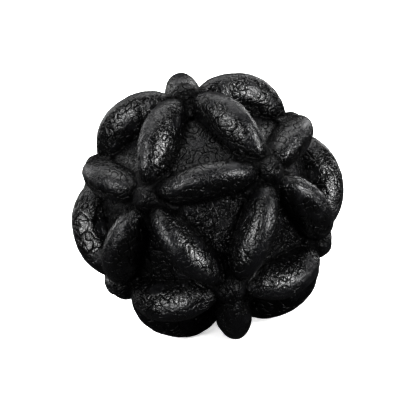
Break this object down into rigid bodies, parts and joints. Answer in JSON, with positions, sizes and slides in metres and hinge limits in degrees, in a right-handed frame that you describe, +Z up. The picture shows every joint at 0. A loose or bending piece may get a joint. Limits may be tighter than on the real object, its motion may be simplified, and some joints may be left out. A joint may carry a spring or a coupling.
{
  "type": "case opening friction ball",
  "caption": "Hollow black rubber ball with rounded knobs, bean-shaped fins and recessed triangular floors, pressed and turned by hand to grip and unscrew a watch case back.",
  "frame": {"origin": "on the bench, straight below the ball's centre, as the ball rests on one knob and the crests of two fins", "axes": "+Z up from the bench, -Y to the front, which the front half shell faces, +X to the right seen from the front"},
  "size_m": [0.0698, 0.067, 0.0656],
  "materials": {
    "moulded_rubber": "semi-matt, with a fine maze of engraved lines on flanks and floors",
    "gum_rubber": "matt"
  },
  "bodies": {
    "root": {"front_half_shell": "moulded_rubber", "rear_half_shell": "moulded_rubber", "seam_strip": "gum_rubber", "inflation_plug": "gum_rubber"}
  },
  "joints": []
}
